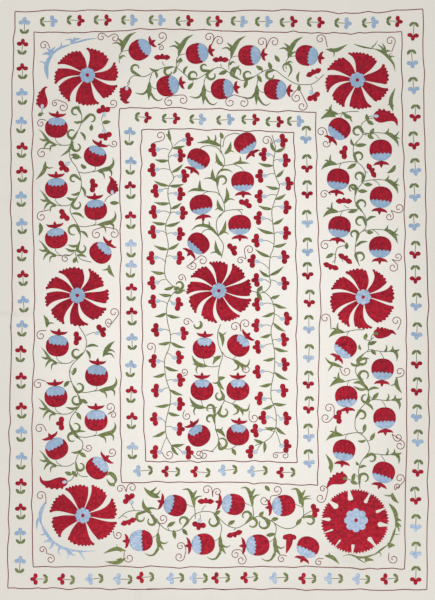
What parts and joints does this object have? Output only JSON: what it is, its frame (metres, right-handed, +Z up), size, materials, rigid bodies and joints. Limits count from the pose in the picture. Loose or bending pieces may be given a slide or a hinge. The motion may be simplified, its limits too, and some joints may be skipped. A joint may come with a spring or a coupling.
{
  "type": "suzani embroidered textile",
  "caption": "Large cotton cloth embroidered with rosettes, pomegranates and leafy vines, with a narrow hem, lying flat and face up with a few soft creases.",
  "frame": {"origin": "middle of the cloth's bounding box, on the surface it lies on", "axes": "+Y towards the top of the pattern, +X to its right, +Z up out of the embroidered face"},
  "size_m": [1.518, 2.055, 0.0096],
  "materials": {
    "embroidered_cotton": "off-white plain-weave cotton with red, sky blue and leaf green thread embroidery"
  },
  "bodies": {
    "root": {"suzani_cloth": "embroidered_cotton"}
  },
  "joints": []
}
